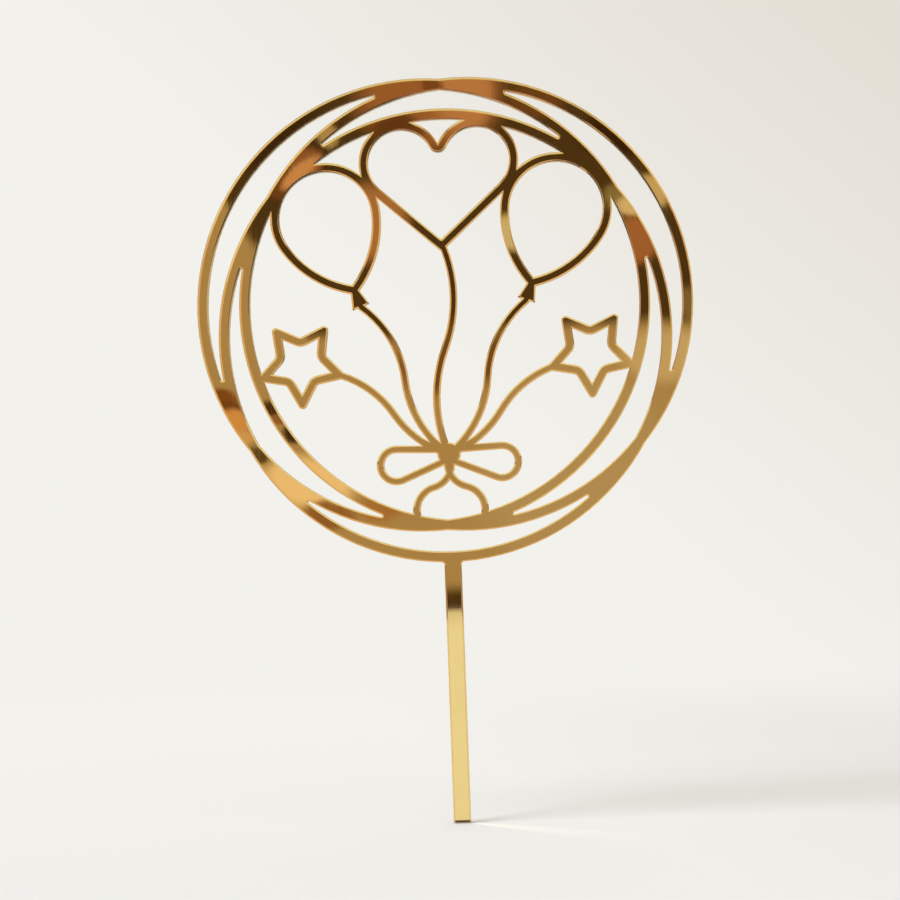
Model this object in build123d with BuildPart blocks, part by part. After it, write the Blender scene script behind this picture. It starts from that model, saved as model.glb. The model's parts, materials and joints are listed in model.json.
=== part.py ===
# Cake topper laser-cut from one sheet of two-sided gold mirror acrylic: three overlapping rings on a
# flat stick, with a bunch of balloons in their opening. Millimetres, +Z up, front towards -Y. The
# origin is the middle of the stick's lower end, halfway through the sheet.

import os
from math import acos, atan2, cos, degrees, hypot, radians, sin, sqrt

from build123d import *

# Rings: three equal circles, two side by side and one lower, the group turned a little on the stick
ring_diameter = 110.0
band_width = 2.6
side_shift = 5.15
lower_drop = 7.5
group_turn = -0.9
slot_end_radius = 0.25

# Stick that goes into the cake
stick_length = 62.5
stick_width = 4.1
stick_root_radius = 0.8

# Sheet: two clear sheets back to back, each with a mirror film on its inner face, and a bond between
sheet_thickness = 2.0
film_gap = 0.02
film_thickness = 0.05
bond_thickness = 0.1

# Line work of the balloons, and how far touching lines run into each other
line_width = 2.2
string_width = 1.8
overlap = 1.0

# Heart balloon at the top of the opening
lobe_radius = 10.2
lobe_spread = 9.2
heart_depth = 22.0

# Round balloons, one each side, held between the heart and the rings
balloon_radius = 13.5
flank_radius = 27.0
shoulder_angle = 15.0
balloon_tilt = 20.0
knot_neck_width = 2.0
knot_width = 4.4
knot_height = 3.2

# Star balloons, one each side
star_points = 5
star_radius = 12.0
star_waist_radius = 6.4
star_rounding = 1.0
star_bearing = 198.0
star_tip_overlap = 2.0

# Strings and the bow that gathers them
heart_string_sag = 2.5
balloon_string_sag = 2.2
star_string_sag = 1.4
bow_height = 16.0
bow_knot_radius = 2.8
bow_pinch_radius = 2.0
bow_loop_radius = 4.8
bow_loop_reach = 13.0
bow_loop_angle = 190.0
bow_tail_bearing = 256.0
bow_tail_sag = 2.0

ring_radius = ring_diameter / 2
opening_radius = ring_radius - band_width
middle_radius = ring_radius - band_width / 2
lower_z = stick_length + ring_radius
upper_z = lower_z + lower_drop


# Point at a distance from a centre, in the direction of a bearing
def polar(centre, distance, bearing):
    return centre + Vector(distance * cos(radians(bearing)), distance * sin(radians(bearing)))


# Point at given distances from two centres, on the left of the line from the first to the second
def nested(first, first_distance, second, second_distance):
    line = second - first
    along = (first_distance**2 - second_distance**2 + line.length**2) / (2 * line.length)
    aside = sqrt(first_distance**2 - along**2)
    return polar(first, hypot(along, aside), degrees(atan2(line.Y, line.X) + atan2(aside, along)))


# Centre line of a string: two equal arcs that bend opposite ways and meet halfway
def wave(start, end, sag):
    middle = (start + end) / 2
    with BuildLine() as line:
        SagittaArc(start, middle, sag)
        SagittaArc(middle, end, -sag)
    return line.wire()


# Centres of the rings
group_centre = Vector(0, upper_z)
right_ring = polar(group_centre, side_shift, group_turn)
left_ring = polar(group_centre, -side_shift, group_turn)
lower_ring = polar(group_centre, -lower_drop, group_turn + 90)

# One ring
with BuildSketch() as band:
    Circle(ring_radius)
    Circle(opening_radius, mode=Mode.SUBTRACT)

# The three rings, with the pointed ends of the slots between them rounded
with BuildSketch() as rings:
    with Locations(left_ring, right_ring, lower_ring):
        add(band.sketch)
    slots = rings.face().inner_wires().sort_by(SortBy.LENGTH)[:-1]
    fillet(slots.vertices(), slot_end_radius)

# Heart balloon, with its lobes against the lower ring's top
heart_z = lower_z + sqrt((opening_radius - lobe_radius + overlap) ** 2 - lobe_spread**2)
notch_angle = degrees(acos(lobe_spread / lobe_radius))
tip_angle = degrees(atan2(heart_depth, lobe_spread) + acos(lobe_radius / hypot(lobe_spread, heart_depth)))
with BuildSketch() as heart:
    with BuildLine():
        lobe = CenterArc((-lobe_spread, 0), lobe_radius, notch_angle, 360 - tip_angle - notch_angle)
        Line(lobe @ 1, (0, -heart_depth))
        mirror(about=Plane.YZ)
    make_face()
    offset(amount=-line_width, mode=Mode.SUBTRACT)

# Round balloon with its knot, its crown centred on the origin
flank_inset = (flank_radius - balloon_radius) * cos(radians(shoulder_angle))
flank_turn = degrees(acos(flank_inset / flank_radius)) - shoulder_angle
with BuildSketch() as round_balloon:
    with BuildLine():
        crown = JernArc((0, balloon_radius), (-1, 0), balloon_radius, 90 + shoulder_angle)
        flank = JernArc(crown @ 1, crown % 1, flank_radius, flank_turn)
        mirror(about=Plane.YZ)
    make_face()
    offset(amount=-line_width, mode=Mode.SUBTRACT)
    neck_y = (flank @ 1).Y
    foot_y = neck_y - knot_height
    knot_rise = knot_height + line_width / 2
    knot_angle = degrees(atan2(knot_rise, (knot_width - knot_neck_width) / 2))
    with Locations((0, foot_y)):
        Trapezoid(knot_width, knot_rise, knot_angle, align=(Align.CENTER, Align.MIN))

# Star balloon, with one tip along the X axis
star_step = 360 / star_points
with BuildSketch() as star:
    with BuildLine():
        tips = [polar(Vector(0, 0), star_radius, star_step * i) for i in range(star_points)]
        waists = [polar(Vector(0, 0), star_waist_radius, star_step * (i + 0.5)) for i in range(star_points)]
        Polyline(*[point for pair in zip(tips, waists) for point in pair], close=True)
    make_face()
    fillet(star.vertices(), star_rounding)
    offset(amount=-line_width, mode=Mode.SUBTRACT)

# Places of the left half's pieces
left_lobe = Vector(-lobe_spread, heart_z)
heart_tip = Vector(0, heart_z - heart_depth + line_width)
lobe_distance = lobe_radius + balloon_radius - overlap
balloon_centre = nested(right_ring, opening_radius - balloon_radius + overlap, left_lobe, lobe_distance)
balloon_foot = polar(balloon_centre, -foot_y, balloon_tilt - 90)
star_centre = polar(right_ring, opening_radius - star_radius + star_tip_overlap, star_bearing)
star_inner_tip = polar(star_centre, star_radius - line_width, star_bearing + 2 * star_step)
bow_centre = Vector(0, upper_z - opening_radius + bow_height)
bow_loop_end = polar(bow_centre, bow_loop_reach, bow_loop_angle)
bow_tail_end = polar(right_ring, middle_radius, bow_tail_bearing)

# One loop of the bow, drawn in towards its knot
with BuildSketch() as bow_loop:
    with Locations(bow_centre):
        Circle(bow_pinch_radius)
    with Locations(bow_loop_end):
        Circle(bow_loop_radius)
    make_hull()
    offset(amount=-string_width, mode=Mode.SUBTRACT)

# Left half of the bunch and its mirror image, then what lies on the centre line
with BuildSketch() as bunch:
    with Locations(balloon_centre):
        add(round_balloon.sketch, rotation=balloon_tilt)
    with Locations(star_centre):
        add(star.sketch, rotation=star_bearing)
    add(bow_loop.sketch)
    SlotArc(wave(balloon_foot, bow_centre, balloon_string_sag), string_width)
    SlotArc(wave(star_inner_tip, bow_centre, star_string_sag), string_width)
    SlotArc(wave(bow_centre, bow_tail_end, bow_tail_sag), string_width)
    mirror(about=Plane.YZ)
    with Locations((0, heart_z)):
        add(heart.sketch)
    SlotArc(wave(heart_tip, bow_centre, heart_string_sag), string_width)
    with Locations(bow_centre):
        Circle(bow_knot_radius)

# The cut outline: rings, bunch and stick in one piece
with BuildSketch() as outline:
    add(rings.sketch)
    add(bunch.sketch)
    Rectangle(stick_width, stick_length + band_width / 2, align=(Align.CENTER, Align.MIN))
    fillet(outline.vertices().sort_by(Axis.Y)[2:4], stick_root_radius)

# Layers of the sheet, by name: where each begins, from the front to the back, and its thickness
bond_half = bond_thickness / 2
film_outside = bond_half + film_thickness
clear_inside = film_outside + film_gap
clear_thickness = sheet_thickness / 2 - clear_inside
layers = {
    "front_sheet": (-sheet_thickness / 2, clear_thickness),
    "front_film": (-film_outside, film_thickness),
    "bond_layer": (-bond_half, bond_thickness),
    "back_film": (bond_half, film_thickness),
    "back_sheet": (clear_inside, clear_thickness),
}

# Each layer has the whole cut outline
os.makedirs("parts", exist_ok=True)
for name, (front_y, thickness) in layers.items():
    with BuildPart() as layer:
        with BuildSketch(Plane.XZ.offset(-front_y)):
            add(outline.sketch)
        extrude(amount=-thickness)
    layer.part.label = name
    export_step(layer.part, f"parts/{name}.step")
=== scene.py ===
import json
import math

import bpy
from mathutils import Matrix, Vector


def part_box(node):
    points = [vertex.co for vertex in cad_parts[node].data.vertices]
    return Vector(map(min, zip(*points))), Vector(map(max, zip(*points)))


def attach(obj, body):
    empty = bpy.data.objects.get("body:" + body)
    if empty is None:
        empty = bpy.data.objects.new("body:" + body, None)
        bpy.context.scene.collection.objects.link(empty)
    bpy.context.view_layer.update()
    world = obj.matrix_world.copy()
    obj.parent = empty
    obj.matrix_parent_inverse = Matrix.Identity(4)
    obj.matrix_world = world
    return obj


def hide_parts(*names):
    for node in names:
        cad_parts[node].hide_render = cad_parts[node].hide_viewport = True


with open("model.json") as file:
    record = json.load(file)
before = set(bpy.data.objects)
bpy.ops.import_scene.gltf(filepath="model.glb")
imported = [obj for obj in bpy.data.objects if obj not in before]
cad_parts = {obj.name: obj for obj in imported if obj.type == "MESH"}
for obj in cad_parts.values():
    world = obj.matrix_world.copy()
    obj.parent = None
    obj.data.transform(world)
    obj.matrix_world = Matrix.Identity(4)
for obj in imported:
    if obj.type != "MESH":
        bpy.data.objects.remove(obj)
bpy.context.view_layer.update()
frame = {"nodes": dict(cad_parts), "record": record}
scene = bpy.context.scene
scene.view_settings.view_transform = "Standard"
print("frame loaded:", ", ".join(sorted(frame["nodes"])))


# node helpers

noiseSpan = (0.3, 0.7)                 # most of a noise's values lie between these


def freshTree(owner):
    owner.use_nodes = True
    owner.node_tree.nodes.clear()
    return owner.node_tree


def addNode(tree, kind, inputs=None, **settings):
    node = tree.nodes.new("ShaderNode" + kind)
    for name, value in settings.items():
        setattr(node, name, value)
    for name, value in (inputs or {}).items():
        if isinstance(value, bpy.types.NodeSocket):        # outputs are linked, plain values set
            tree.links.new(value, node.inputs[name])
        else:
            node.inputs[name].default_value = value
    return node


def maths(tree, operation, first, second=0.0, clamp=False):
    return addNode(tree, "Math", {0: first, 1: second}, operation=operation, use_clamp=clamp).outputs[0]


def vectors(tree, operation, first, second=(0, 0, 0)):
    return addNode(tree, "VectorMath", {0: first, 1: second}, operation=operation).outputs


def axesOf(tree, places):
    return addNode(tree, "SeparateXYZ", {0: places}).outputs


def objectPlaces(tree):
    return addNode(tree, "TexCoord").outputs["Object"]


def remap(tree, value, span, ends):
    inputs = {"Value": value, "From Min": span[0], "From Max": span[1], "To Min": ends[0], "To Max": ends[1]}
    return addNode(tree, "MapRange", inputs, interpolation_type="SMOOTHSTEP").outputs["Result"]


def rising(tree, value, span):
    return remap(tree, value, span, (0.0, 1.0))


def falling(tree, value, span):
    return remap(tree, value, span, (1.0, 0.0))


def steady(tree, value, span):
    inputs = {"Value": value, "From Min": span[0], "From Max": span[1]}
    return addNode(tree, "MapRange", inputs).outputs["Result"]


def distanceFrom(tree, value, middle):
    return maths(tree, "ABSOLUTE", maths(tree, "SUBTRACT", value, middle))


def scaledPlaces(tree, scale, turn=(0, 0, 0)):
    inputs = {"Vector": objectPlaces(tree), "Scale": scale, "Rotation": turn}
    return addNode(tree, "Mapping", inputs).outputs["Vector"]


def noiseAt(tree, scale, detail=2.0, rough=0.5, turn=(0, 0, 0)):
    inputs = {"Vector": scaledPlaces(tree, scale, turn), "Scale": 1.0, "Detail": detail, "Roughness": rough}
    return addNode(tree, "TexNoise", inputs).outputs["Fac"]


def blend(tree, share, first, second):
    node = addNode(tree, "Mix", {"Factor": share}, data_type="RGBA")    # sockets 6 and 7 take colours
    for socket, colour in ((node.inputs[6], first), (node.inputs[7], second)):
        if isinstance(colour, bpy.types.NodeSocket):
            tree.links.new(colour, socket)
        else:
            socket.default_value = (*colour, 1.0)
    return node.outputs[2]


def between(tree, share, first, second):
    numbers = {"Factor": share, 2: first, 3: second}
    return addNode(tree, "Mix", numbers, data_type="FLOAT").outputs[0]


def bumped(tree, height, distance, normal=None):
    inputs = {"Height": height, "Distance": distance, "Strength": 1.0}
    if normal is not None:
        inputs["Normal"] = normal
    return addNode(tree, "Bump", inputs).outputs["Normal"]


def addMesh(name, corners, faces):
    mesh = bpy.data.meshes.new(name)
    mesh.from_pydata(corners, [], faces)
    mesh.shade_smooth()
    piece = bpy.data.objects.new(name, mesh)
    scene.collection.objects.link(piece)
    return piece


# clear gold sheet

sheetLook = {
    "clear": (1.0, 0.985, 0.95),       # polished faces
    "rim": (0.88, 0.69, 0.46),         # sloped border of the faces
    "cutEdge": (0.88, 0.76, 0.58),     # walls left by the laser
    "tint": (0.99, 0.885, 0.395),      # what the sheet lets through
    "tintDensity": 350.0,
    "bend": 1.49,                      # how the sheet bends light
    "rimFacing": (0.85, 0.97),         # how squarely a slope faces front or back
    "wallFacing": (0.2, 0.5),          # the same for a wall
    "faceRough": (0.004, 0.02),
    "rimRough": 0.05,
    "wallRough": (0.30, 0.50),
    "ripple": 0.00002,
    "rippleScale": (45, 45, 30),
    "scratch": 0.0000005,              # wiping marks on the face
    "scratchScale": (900, 900, 60),
    "scratchTurn": (0, 0.6, 0),
    "cutLines": 0.000005,              # lines across the thickness
    "cutScale": (2600, 120, 2600),
    "cloudScale": (60, 60, 60),
    "cloudSpan": (0.2, 0.45),
}


def makeSheetFinish(look):
    material = bpy.data.materials.new("goldAcrylic")
    tree = freshTree(material)
    facing = axesOf(tree, addNode(tree, "TexCoord").outputs["Normal"])["Y"]
    upright = maths(tree, "ABSOLUTE", facing)
    rim = falling(tree, upright, look["rimFacing"])
    wall = falling(tree, upright, look["wallFacing"])
    cutLines = noiseAt(tree, look["cutScale"], detail=3.0)
    scratches = noiseAt(tree, look["scratchScale"], detail=4.0, rough=0.6, turn=look["scratchTurn"])
    cloud = noiseAt(tree, look["cloudScale"], detail=3.0)
    worn = maths(tree, "MULTIPLY", scratches, cloud)
    faceRough = remap(tree, worn, look["cloudSpan"], look["faceRough"])
    wallRough = remap(tree, cutLines, noiseSpan, look["wallRough"])
    rimmedRough = between(tree, rim, faceRough, look["rimRough"])
    ripple = bumped(tree, noiseAt(tree, look["rippleScale"], detail=1.0), look["ripple"])
    marks = bumped(tree, scratches, look["scratch"], ripple)
    grooves = bumped(tree, maths(tree, "MULTIPLY", cutLines, wall), look["cutLines"], marks)
    shader = addNode(tree, "BsdfPrincipled", {
        "Base Color": blend(tree, wall, blend(tree, rim, look["clear"], look["rim"]), look["cutEdge"]),
        "Roughness": between(tree, wall, rimmedRough, wallRough),
        "Normal": grooves,
        "IOR": look["bend"],
        "Transmission Weight": 1.0,
    })
    tint = {"Color": (*look["tint"], 1.0), "Density": look["tintDensity"]}
    inside = addNode(tree, "VolumeAbsorption", tint)
    addNode(tree, "OutputMaterial", {"Surface": shader.outputs[0], "Volume": inside.outputs[0]})
    return material


# mirror layer behind the sheet

filmLook = {
    "bright": (0.966, 0.83, 0.47),
    "deep": (0.936, 0.792, 0.431),
    "rough": (0.012, 0.035),
    "roughSpan": (0.15, 0.4),
    "cloudScale": (70, 70, 50),
    "warp": 0.0001,                    # slow waves of the sheet
    "warpScale": (28, 28, 22),
    "drawn": 0.0000005,                # fine upright lines from rolling
    "drawnScale": (2400, 2400, 25),
}


def makeFilmFinish(look):
    material = bpy.data.materials.new("mirrorFilm")
    tree = freshTree(material)
    cloud = noiseAt(tree, look["cloudScale"], detail=3.0)
    drawn = noiseAt(tree, look["drawnScale"], detail=2.0)
    warp = noiseAt(tree, look["warpScale"], detail=1.0, rough=0.35)
    waves = bumped(tree, warp, look["warp"])
    shader = addNode(tree, "BsdfPrincipled", {
        "Base Color": blend(tree, rising(tree, cloud, noiseSpan), look["deep"], look["bright"]),
        "Metallic": 1.0,
        "Roughness": remap(tree, maths(tree, "MULTIPLY", cloud, drawn), look["roughSpan"], look["rough"]),
        "Normal": bumped(tree, drawn, look["drawn"], waves),
    })
    addNode(tree, "OutputMaterial", {"Surface": shader.outputs[0]})
    return material


# paint and glue between the mirror layers

bondLook = {
    "dark": (0.19, 0.155, 0.115),
    "light": (0.27, 0.225, 0.17),
    "mottleScale": (110, 110, 110),
    "speck": (0.42, 0.37, 0.29),
    "speckShare": 0.5,
    "speckSpan": (0.05, 0.16),         # where a speck fades out
    "speckScale": (900, 900, 900),
    "rough": (0.42, 0.62),
    "peel": 0.00004,
    "peelScale": (2200, 2200, 2200),
}


def makeBondFinish(look):
    material = bpy.data.materials.new("bondPaint")
    tree = freshTree(material)
    mottle = noiseAt(tree, look["mottleScale"], detail=5.0, rough=0.6)
    grain = noiseAt(tree, look["peelScale"], detail=2.0)
    dots = addNode(tree, "TexVoronoi", {"Vector": scaledPlaces(tree, look["speckScale"]), "Scale": 1.0})
    specks = falling(tree, dots.outputs["Distance"], look["speckSpan"])
    share = maths(tree, "MULTIPLY", specks, look["speckShare"])
    base = blend(tree, rising(tree, mottle, noiseSpan), look["dark"], look["light"])
    shader = addNode(tree, "BsdfPrincipled", {
        "Base Color": blend(tree, share, base, look["speck"]),
        "Roughness": remap(tree, mottle, noiseSpan, look["rough"]),
        "Normal": bumped(tree, grain, look["peel"]),
    })
    addNode(tree, "OutputMaterial", {"Surface": shader.outputs[0]})
    return material


# the clear sheets again, with the slope that the laser's heat leaves along their outer edges

edgeLook = {
    "rim": 0.00034,                    # width of the slope, seen from outside
    "slopes": (38.0, 43.0),            # degrees, at its inner and its outer border
    "steps": 3,
    "mitre": 1.6,                      # longest corner, in rim widths
    "crease": 30.0,                    # degrees, sharper corners of the outline stay sharp
    "squarely": 0.99,                  # faces that look outward at least so squarely are the outer ones
}


def outerTriangles(mesh, facing, look):
    points, triangles = {}, []
    for face in mesh.polygons:
        if face.normal.y * facing > look["squarely"]:
            spots = [mesh.vertices[index].co for index in face.vertices]
            triangles.append([points.setdefault((spot.x, spot.z), len(points)) for spot in spots])
    return [Vector(point) for point in points], triangles


def rimEdges(triangles):
    edges = {(a, b): None for t in triangles for a, b in zip(t, t[1:] + t[:1])}
    return [(a, b) for a, b in edges if (b, a) not in edges]      # edges that one triangle has alone


def outwardSides(outline, rim, facing):
    sides = {}
    for a, b in rim:
        run = outline[b] - outline[a]
        sides[a, b] = Vector((run.y, -run.x)).normalized() * -facing
    return sides


def slopeProfile(look):
    low, high = look["slopes"]
    width = look["rim"] / look["steps"]
    inset, depth, profile = look["rim"], 0.0, []
    for step in range(look["steps"] + 1):
        tilt = math.radians(low + (high - low) * step / look["steps"])
        profile.append((inset, depth, Vector((math.sin(tilt), math.cos(tilt)))))
        inset -= width
        depth += width * math.tan(tilt)
    return profile


def makeRimmedSheet(node, facing, look):
    inner, outer = sorted((corner[1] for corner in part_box(node.name)), key=lambda y: y * facing)
    outline, triangles = outerTriangles(node.data, facing, look)
    rim = rimEdges(triangles)
    sides = outwardSides(outline, rim, facing)
    before = {b: sides[a, b] for a, b in rim}
    after = {a: sides[a, b] for a, b in rim}

    # each corner moves inward between its two sides
    pull, smooth = {}, {}
    for v in after:
        both = before[v] + after[v]
        pull[v] = both.normalized() * -(2 / max(both.length, 2 / look["mitre"]))
        smooth[v] = both.length > 2 * math.cos(math.radians(look["crease"] / 2))

    # rings of corners, from the flat face down the slope to the foot of the wall
    profile = slopeProfile(look)
    straightOut = Vector((1, 0))
    wallTop = (0.0, profile[-1][1], straightOut)
    wallFoot = (0.0, abs(outer - inner), straightOut)
    count = len(outline)
    places = []
    for inset, depth, lean in profile + [wallFoot]:
        moved = [outline[v] + pull[v] * inset for v in range(count)]
        places += [(spot.x, outer - facing * depth, spot.y) for spot in moved]

    # both faces, then a strip between each ring and the next
    foot = len(profile) * count
    faces = [tuple(t) for t in triangles] + [tuple(foot + v for v in reversed(t)) for t in triangles]
    normals = [(0, facing, 0)] * 3 * len(triangles) + [(0, -facing, 0)] * 3 * len(triangles)
    strips = list(zip(profile, profile[1:])) + [(wallTop, wallFoot)]
    for level, (upper, lower) in enumerate(strips):
        for a, b in rim:
            corners = ((level, b, upper), (level, a, upper), (level + 1, a, lower), (level + 1, b, lower))
            faces.append(tuple(ring * count + v for ring, v, section in corners))
            for ring, v, (inset, depth, lean) in corners:
                side = (before[v] + after[v]).normalized() if smooth[v] else sides[a, b]
                normals.append((side.x * lean.x, facing * lean.y, side.y * lean.x))

    sheet = addMesh(node.name + ".rimmed", places, faces)
    sheet.data.normals_split_custom_set(normals)
    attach(sheet, "root")
    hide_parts(node.name)
    return sheet


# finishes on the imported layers, then the sloped sheets in place of the plain ones

slots = {part["node"]: part["material_slot"] for part in frame["record"]["subparts"]}
finishes = {
    "gold_acrylic": makeSheetFinish(sheetLook),
    "mirror_layer": makeFilmFinish(filmLook),
    "bond": makeBondFinish(bondLook),
}
for name, layer in frame["nodes"].items():
    finish = finishes[slots[name]]
    if not layer.material_slots:
        layer.data.materials.append(finish)
    for slot in layer.material_slots:
        slot.material = finish
print("finishes:", ", ".join(finish.name for finish in finishes.values()))

for name, facing in (("front_sheet", -1), ("back_sheet", 1)):
    sheet = makeRimmedSheet(frame["nodes"][name], facing, edgeLook)
    sheet.data.materials.append(finishes[slots[name]])
    print("rimmed:", sheet.name, len(sheet.data.polygons), "faces")


# pale ground that sweeps up behind

groundLook = {
    "level": -0.00025,
    "wide": 3.0,                       # metres to each side
    "near": -3.0,
    "bendStart": 0.55,
    "bendRadius": 0.35,
    "bendSteps": 24,
    "high": 1.6,
    "pale": (0.934, 0.914, 0.892),     # where the light falls on it, near the object
    "paintedDim": (0.860, 0.832, 0.806),      # painted shade: the same, darker farther right
    "dimFrom": (0.035, 0.165),         # where it begins and is full, along a slant
    "dimSlant": 0.3,
    "front": (0.80, 0.74, 0.66),       # far in front, seen in the mirror
    "frontFrom": (-1.1, -0.7),
    "frontEnd": (-0.045, -0.005),      # where it ends, to the right
    "foot": (0.20, 0.08, 0.02),        # painted shade: brown at the foot of the card, seen in the stick
    "footFrom": (-1.11, -0.975),
    "footMiddle": -0.066,
    "footEnds": (0.03, 0.05),          # how far it goes from there, to each side
    "far": (0.890, 0.881, 0.840),      # glow of the far ground, where it sweeps up
    "farFrom": (0.13, 0.42),
    "corner": (0.774, 0.737, 0.668),   # painted shade: the same glow, darker high on the right
    "cornerFrom": (0.10, 0.62),        # where it begins and is full, along a slant
    "cornerSlant": 0.95,
    "gleam": (0.190, 0.195, 0.110),    # light that the stick throws on the ground
    "gleamFrom": (0.0030, -0.0012),
    "gleamBearing": -36.0,             # degrees round from +X
    "gleamRoot": (-0.001, 0.001),      # where it begins and is full, along its way
    "gleamReach": 0.110,
    "gleamFade": 5.0,                  # how fast it fades along its way
    "gleamWidth": (0.0008, 0.16),      # at its root, and how it grows along the way
    "gleamEdge": (0.2, 1.3),           # softness across, in widths
}


def makeSweep(look):
    profile = [(look["near"], look["level"])]
    for step in range(look["bendSteps"] + 1):
        turn = math.radians(90) * step / look["bendSteps"]
        along = look["bendStart"] + look["bendRadius"] * math.sin(turn)
        profile.append((along, look["level"] + look["bendRadius"] * (1 - math.cos(turn))))
    profile.append((profile[-1][0], look["high"]))
    corners = [(side * look["wide"], y, z) for y, z in profile for side in (-1, 1)]
    faces = [(2 * i, 2 * i + 1, 2 * i + 3, 2 * i + 2) for i in range(len(profile) - 1)]
    return addMesh("ground", corners, faces)


def groundColour(tree, look, axes):
    front = maths(tree, "MULTIPLY", falling(tree, axes["Y"], look["frontFrom"]),
                  falling(tree, axes["X"], look["frontEnd"]))
    # painted shade: the ground turns darker towards the right, along a slant
    aslant = maths(tree, "ADD", maths(tree, "MULTIPLY", axes["Y"], look["dimSlant"]), axes["X"])
    paintedDim = steady(tree, aslant, look["dimFrom"])
    plain = blend(tree, paintedDim, look["pale"], look["paintedDim"])
    mirrored = blend(tree, front, plain, look["front"])
    # painted shade at the foot of the card, seen only in the mirror
    sideways = distanceFrom(tree, axes["X"], look["footMiddle"])
    foot = maths(tree, "MULTIPLY", falling(tree, axes["Y"], look["footFrom"]),
                 falling(tree, sideways, look["footEnds"]))
    mirrored = blend(tree, foot, mirrored, look["foot"])
    looked = addNode(tree, "LightPath").outputs["Is Camera Ray"]
    return blend(tree, looked, mirrored, plain)      # the camera itself sees the plain ground


def gleamShare(tree, look):
    beam = addNode(tree, "Mapping", {
        "Vector": objectPlaces(tree),
        "Location": (*look["gleamFrom"], 0),
        "Rotation": (0, 0, math.radians(look["gleamBearing"])),
    }, vector_type="TEXTURE")
    ways = axesOf(tree, beam.outputs[0])
    root, growth = look["gleamWidth"]
    ahead = maths(tree, "MAXIMUM", ways["X"], 0.0)
    width = maths(tree, "ADD", maths(tree, "MULTIPLY", ahead, growth), root)
    aside = maths(tree, "DIVIDE", maths(tree, "ABSOLUTE", ways["Y"]), width)
    rest = maths(tree, "SUBTRACT", 1.0, maths(tree, "DIVIDE", ways["X"], look["gleamReach"]), clamp=True)
    along = maths(tree, "MULTIPLY", rising(tree, ways["X"], look["gleamRoot"]),
                  maths(tree, "POWER", rest, look["gleamFade"]))
    return maths(tree, "MULTIPLY", along, falling(tree, aside, look["gleamEdge"]))


def makeGround(look):
    ground = makeSweep(look)
    material = bpy.data.materials.new("paleGround")
    tree = freshTree(material)
    axes = axesOf(tree, objectPlaces(tree))
    lit = addNode(tree, "BsdfDiffuse", {"Color": groundColour(tree, look, axes)})
    gleam = addNode(tree, "Emission", {"Color": (*look["gleam"], 1.0), "Strength": gleamShare(tree, look)})
    near = addNode(tree, "AddShader", {0: lit.outputs[0], 1: gleam.outputs[0]})
    # painted shade: the glow of the sweep darkens high on the right
    slope = maths(tree, "ADD", maths(tree, "MULTIPLY", axes["X"], look["cornerSlant"]), axes["Z"])
    corner = steady(tree, slope, look["cornerFrom"])
    glow = addNode(tree, "Emission", {"Color": blend(tree, corner, look["far"], look["corner"])})
    fade = rising(tree, axes["Y"], look["farFrom"])
    both = addNode(tree, "MixShader", {0: fade, 1: near.outputs[0], 2: glow.outputs[0]})
    addNode(tree, "OutputMaterial", {"Surface": both.outputs[0]})
    ground.data.materials.append(material)


makeGround(groundLook)
print("ground made")


# glowing card on the camera's side, no lamp, seen in the mirror alone: its colours are painted reflections

cardLook = {
    "away": 1.07,                      # metres in front of the mirror
    "wide": 1.6,
    "high": 1.1,
    "gold": (0.42, 0.29, 0.175),
    "shade": (0.075, 0.042, 0.017),
    "shadeFrom": (0.202, 0.216),       # heights where the shade begins
    "leftEdge": -0.171,                # left of this it begins higher, along a slant
    "leftSlant": 1.72,
    "rim": (0.0095, 0.0218),           # dark strip along the lower edge
    "rimEnds": (0.03, 0.05),           # how far it goes from the middle, to each side
    "comb": 0.012,                     # fine upright teeth of its upper border
    "combScale": (520, 0, 12),
    "wander": 0.020,                   # unevenness of tones and patches
    "wanderScale": (22, 0, 22),
    "softness": (0.65, 1.15),          # of a patch, in half sizes
    "middle": (-0.066, 0.230),         # x and z of what the flat faces show
    "around": (0.80, 0.61, 0.49),      # the card around that, shown by the sloped rims alone
    "aroundFrom": (0.205, 0.222),
    "aroundAbove": (0.045, 0.075),
    "beyond": (0.56, 0.58),            # distances where it turns dark again
    "beyondShade": (0.20, 0.27),       # heights where the shade begins there
}
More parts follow.
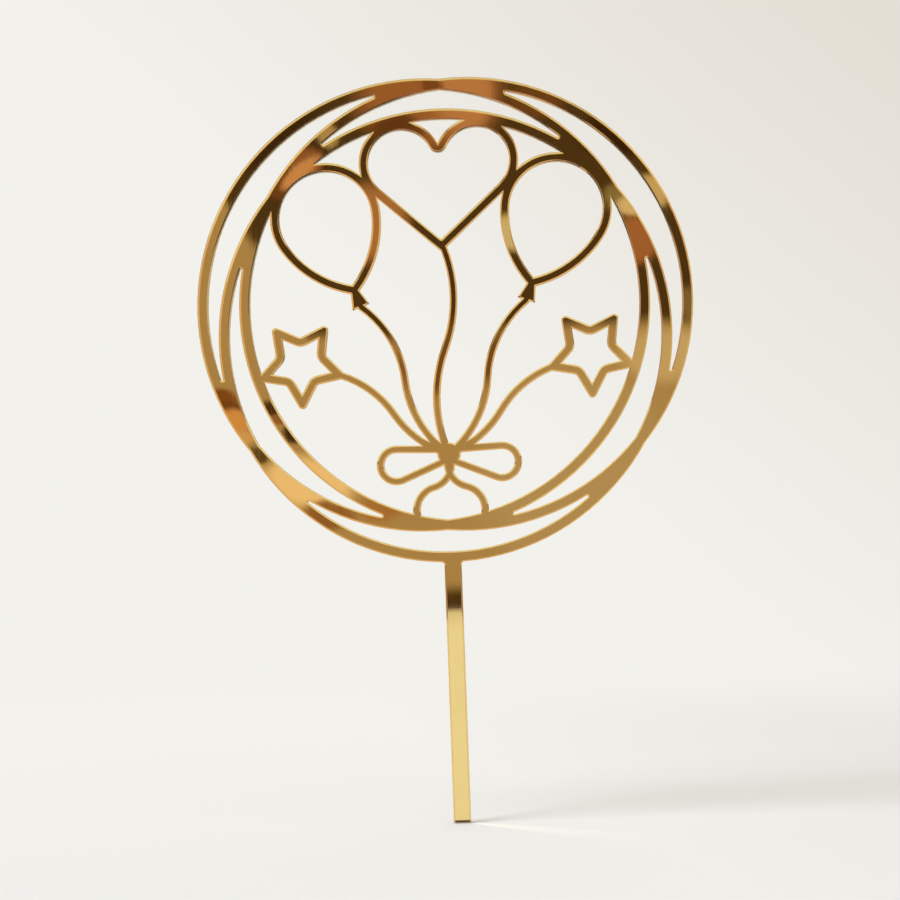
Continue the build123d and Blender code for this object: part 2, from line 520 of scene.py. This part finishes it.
cardPatches = [                        # painted reflection patches: x, z, half width, half height in metres, colour
    (-0.390, 0.160, 0.062, 0.110, (0.40, 0.27, 0.17)),
    (-0.335, 0.300, 0.055, 0.120, (0.68, 0.60, 0.50)),      # pale parts, shown by the sloped rims
    (-0.800, 0.330, 0.125, 0.270, (0.66, 0.60, 0.66)),
    (0.550, 0.210, 0.080, 0.240, (0.55, 0.38, 0.44)),
    (0.200, 0.850, 0.150, 0.060, (0.58, 0.38, 0.40)),
    (0.322, 0.700, 0.055, 0.050, (0.60, 0.40, 0.36)),
    (0.085, 0.030, 0.075, 0.040, (0.98, 0.88, 0.78)),
    (-0.270, 0.030, 0.060, 0.036, (0.92, 0.82, 0.70)),
    (-0.275, 0.072, 0.045, 0.052, (0.95, 0.86, 0.78)),
    (-0.255, 0.430, 0.070, 0.060, (0.90, 0.81, 0.66)),
    (0.175, 0.072, 0.070, 0.070, (1.00, 0.92, 0.84)),
    (-0.060, 0.900, 0.200, 0.110, (0.36, 0.16, 0.09)),      # copper tones, high up
    (-0.180, 0.356, 0.040, 0.032, (0.045, 0.023, 0.010)),
    (-0.070, 0.390, 0.062, 0.046, (0.33, 0.135, 0.065)),
    (-0.045, 0.388, 0.026, 0.030, (0.49, 0.230, 0.130)),
    (-0.096, 0.364, 0.024, 0.016, (0.13, 0.05, 0.02)),
    (-0.068, 0.398, 0.008, 0.010, (0.19, 0.07, 0.03)),
    (0.012, 0.384, 0.020, 0.018, (0.15, 0.063, 0.026)),
    (-0.185, 0.327, 0.014, 0.014, (0.15, 0.060, 0.024)),
    (-0.168, 0.344, 0.013, 0.014, (0.28, 0.115, 0.055)),
    (-0.153, 0.364, 0.008, 0.010, (0.43, 0.31, 0.18)),
    (-0.118, 0.292, 0.030, 0.034, (0.40, 0.19, 0.105)),
    (0.084, 0.274, 0.020, 0.019, (0.36, 0.145, 0.07)),
    (0.073, 0.304, 0.018, 0.012, (0.24, 0.18, 0.09)),       # olive and pale tones on the right
    (0.079, 0.298, 0.013, 0.007, (0.68, 0.54, 0.39)),
    (0.101, 0.309, 0.015, 0.013, (0.58, 0.44, 0.28)),
    (0.070, 0.352, 0.035, 0.020, (0.042, 0.018, 0.006)),
    (-0.012, 0.284, 0.014, 0.016, (0.62, 0.54, 0.42)),
    (0.030, 0.095, 0.085, 0.085, (0.46, 0.34, 0.245)),
    (0.104, 0.183, 0.040, 0.023, (0.57, 0.445, 0.33)),
    (0.126, 0.222, 0.012, 0.017, (0.21, 0.15, 0.08)),
    (-0.235, 0.166, 0.014, 0.008, (0.22, 0.08, 0.022)),     # stripes on the left
    (-0.232, 0.159, 0.013, 0.005, (0.17, 0.065, 0.02)),
    (-0.228, 0.147, 0.016, 0.012, (0.66, 0.33, 0.14)),
    (-0.222, 0.133, 0.009, 0.006, (0.66, 0.40, 0.24)),
    (-0.203, 0.157, 0.012, 0.008, (0.065, 0.03, 0.015)),
    (-0.197, 0.146, 0.009, 0.006, (0.30, 0.13, 0.06)),
    (-0.189, 0.134, 0.009, 0.009, (0.05, 0.022, 0.015)),
    (-0.211, 0.120, 0.008, 0.008, (0.11, 0.07, 0.035)),
    (-0.173, 0.098, 0.040, 0.022, (0.88, 0.66, 0.49)),      # the brightest one
    (-0.163, 0.069, 0.026, 0.013, (0.29, 0.135, 0.055)),
    (-0.119, 0.076, 0.020, 0.012, (0.40, 0.20, 0.09)),
    (-0.060, 0.190, 0.050, 0.032, (0.17, 0.085, 0.04)),
]
cardStreaks = [                        # painted reflection streaks: x, z, half length, half width, degrees up from level, colour
    (-0.172, 0.337, 0.020, 0.006, 43.0, (0.61, 0.305, 0.18)),
]


def wandering(tree, look, places):
    inputs = {"Vector": scaledPlaces(tree, look["wanderScale"]), "Scale": 1.0, "Detail": 3.0}
    swirl = addNode(tree, "TexNoise", inputs).outputs["Color"]
    centred = vectors(tree, "SUBTRACT", swirl, (0.5, 0.5, 0.5))["Vector"]
    shift = addNode(tree, "VectorMath", {0: centred, "Scale": look["wander"]}, operation="SCALE")
    return vectors(tree, "ADD", places, shift.outputs["Vector"])["Vector"]


def cardTones(tree, look, moved):
    axes = axesOf(tree, moved)
    leftward = maths(tree, "MAXIMUM", maths(tree, "SUBTRACT", look["leftEdge"], axes["X"]), 0.0)
    height = maths(tree, "SUBTRACT", axes["Z"], maths(tree, "MULTIPLY", leftward, look["leftSlant"]))
    colour = blend(tree, rising(tree, height, look["shadeFrom"]), look["gold"], look["shade"])
    midX, midZ = look["middle"]
    off = vectors(tree, "DISTANCE", moved, (midX, -look["away"], midZ))["Value"]
    around = maths(tree, "MULTIPLY", rising(tree, off, look["aroundFrom"]),
                   rising(tree, axes["Z"], look["aroundAbove"]))
    colour = blend(tree, around, colour, look["around"])
    farther = blend(tree, rising(tree, axes["Z"], look["beyondShade"]), look["gold"], look["shade"])
    return blend(tree, rising(tree, off, look["beyond"]), colour, farther)


def ovalShare(tree, look, spot, halfWide, halfHigh):
    grown = vectors(tree, "MULTIPLY", spot, (1 / halfWide, 0, 1 / halfHigh))["Vector"]
    return falling(tree, vectors(tree, "LENGTH", grown)["Value"], look["softness"])


def darkStrip(tree, look, places, moved):
    comb = maths(tree, "MULTIPLY", noiseAt(tree, look["combScale"], detail=2.0), look["comb"])
    height = maths(tree, "ADD", axesOf(tree, places)["Z"], comb)
    strip = falling(tree, height, [edge + look["comb"] / 2 for edge in look["rim"]])
    sideways = distanceFrom(tree, axesOf(tree, moved)["X"], look["middle"][0])
    return maths(tree, "MULTIPLY", strip, falling(tree, sideways, look["rimEnds"]))


def makeCard(look, patches, streaks):
    wide, away, high = look["wide"], -look["away"], look["high"]
    corners = [(-wide, away, 0), (wide, away, 0), (wide, away, high), (-wide, away, high)]
    card = addMesh("card", corners, [(0, 1, 2, 3)])
    material = bpy.data.materials.new("paintedReflectionCard")
    tree = freshTree(material)
    places = objectPlaces(tree)
    moved = wandering(tree, look, places)
    colour = cardTones(tree, look, moved)
    for x, z, halfWide, halfHigh, patch in patches:
        spot = vectors(tree, "SUBTRACT", moved, (x, 0, z))["Vector"]
        colour = blend(tree, ovalShare(tree, look, spot, halfWide, halfHigh), colour, patch)
    for x, z, halfLong, halfWide, slant, streak in streaks:
        turned = {"Vector": places, "Location": (x, 0, z), "Rotation": (0, -math.radians(slant), 0)}
        spot = addNode(tree, "Mapping", turned, vector_type="TEXTURE").outputs[0]
        colour = blend(tree, ovalShare(tree, look, spot, halfLong, halfWide), colour, streak)
    colour = blend(tree, darkStrip(tree, look, places, moved), colour, look["shade"])
    # painted reflection: the card glows with its own colours
    glow = addNode(tree, "Emission", {"Color": colour, "Strength": 1.0})
    addNode(tree, "OutputMaterial", {"Surface": glow.outputs[0]})
    card.data.materials.append(material)
    card.visible_camera = card.visible_diffuse = card.visible_shadow = False


makeCard(cardLook, cardPatches, cardStreaks)
print("card made")


# light

lightLook = {
    "world": (1.0, 0.945, 0.860),
    "worldStrength": 0.60,
    "seen": (0.890, 0.881, 0.840),     # the world where it is looked at, straight or in the mirror
    "sunColour": (0.80, 0.90, 1.0),
    "sunStrength": 1.55,
    "sunSpread": 30.0,                 # degrees across, softens the shadow
    "sunBearing": 205.0,               # degrees round from +X, where the light stands
    "sunHeight": 50.0,                 # degrees above the ground
}


def makeWorld(look):
    world = bpy.data.worlds.new("studio")
    scene.world = world
    tree = freshTree(world)
    glow = addNode(tree, "Background", {"Color": (*look["world"], 1.0), "Strength": look["worldStrength"]})
    seen = addNode(tree, "Background", {"Color": (*look["seen"], 1.0), "Strength": 1.0})
    ray = addNode(tree, "LightPath").outputs
    mirrored = maths(tree, "MAXIMUM", ray["Is Glossy Ray"], ray["Is Transmission Ray"])
    looked = maths(tree, "MAXIMUM", ray["Is Camera Ray"], mirrored)
    both = addNode(tree, "MixShader", {0: looked, 1: glow.outputs[0], 2: seen.outputs[0]})
    addNode(tree, "OutputWorld", {"Surface": both.outputs[0]})


def makeSun(look):
    bearing, height = math.radians(look["sunBearing"]), math.radians(look["sunHeight"])
    flat = math.cos(height)
    way = Vector((flat * math.cos(bearing), flat * math.sin(bearing), math.sin(height)))
    lamp = bpy.data.lights.new("sun", "SUN")
    lamp.energy = look["sunStrength"]
    lamp.angle = math.radians(look["sunSpread"])
    lamp.color = look["sunColour"]
    sun = bpy.data.objects.new("sun", lamp)
    sun.location = way
    sun.rotation_euler = way.to_track_quat("Z", "Y").to_euler()
    sun.visible_glossy = sun.visible_transmission = False
    scene.collection.objects.link(sun)


makeWorld(lightLook)
makeSun(lightLook)
print("light made")


# camera

cameraLook = {
    "lens": 82.56,                     # millimetres
    "sensor": 36.0,
    "aim": (0.0, -0.001, 0.125),       # point of the front face that the angles turn about
    "away": 0.49928,                   # metres from there, along the view
    "side": 0.001621,                  # metres to the right
    "drop": 0.035389,                  # metres downward
    "pitch": -1.52,                    # degrees
    "yaw": -3.50,
    "roll": 2.109,
    "clip": (0.01, 20.0),
}


def makeCamera(look):
    pitch, yaw, roll = (math.radians(look[name]) for name in ("pitch", "yaw", "roll"))
    turn = Matrix.Rotation(roll, 3, "Z") @ Matrix.Rotation(pitch, 3, "X") @ Matrix.Rotation(yaw, 3, "Y")
    spot = turn.transposed() @ Vector((look["side"], -look["drop"], look["away"]))
    stand = Matrix(((1, 0, 0), (0, 0, -1), (0, 1, 0)))    # the mirror's own axes to the frame's
    data = bpy.data.cameras.new("camera")
    data.lens, data.sensor_width = look["lens"], look["sensor"]
    data.clip_start, data.clip_end = look["clip"]
    camera = bpy.data.objects.new("camera", data)
    place = (stand @ turn.transposed()).to_4x4()
    place.translation = stand @ spot + Vector(look["aim"])
    camera.matrix_world = place
    scene.collection.objects.link(camera)
    scene.camera = camera


makeCamera(cameraLook)
print("camera made")
